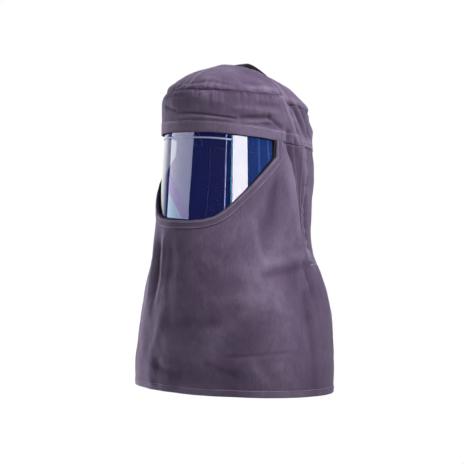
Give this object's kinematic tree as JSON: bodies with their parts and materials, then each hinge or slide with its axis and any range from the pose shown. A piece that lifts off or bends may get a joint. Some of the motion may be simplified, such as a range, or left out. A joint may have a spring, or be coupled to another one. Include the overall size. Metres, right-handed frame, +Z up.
{
  "type": "arc flash hood",
  "caption": "Cloth hood with a domed crown, brow band, curved tinted visor in a cut-out, flared drape with side slits and a hang loop, worn over the head and shoulders.",
  "frame": {"origin": "inside of the crown's highest point, where the hood sits on a head or a hat", "axes": "+Z up; the wearer faces -Y; +X is the wearer's left"},
  "size_m": [0.378, 0.3025, 0.5515],
  "materials": {
    "cloth": "matt plum-grey twill, light lavender-grey stitching",
    "visor": "clear polycarbonate sheet with a blue tint and a hard gloss",
    "rail": "pale gloss edge rail",
    "gasket": "matt black trim",
    "webbing": "dark woven strap"
  },
  "bodies": {
    "root": {"crown_front_left": "cloth", "crown_front_right": "cloth", "crown_back_left": "cloth", "crown_back_right": "cloth", "brow_band": "cloth", "rear_band": "cloth", "front_drape": "cloth", "back_drape": "cloth", "visor": "visor", "visor_rail": "rail", "visor_gasket": "gasket", "hang_loop": "webbing"}
  },
  "joints": []
}
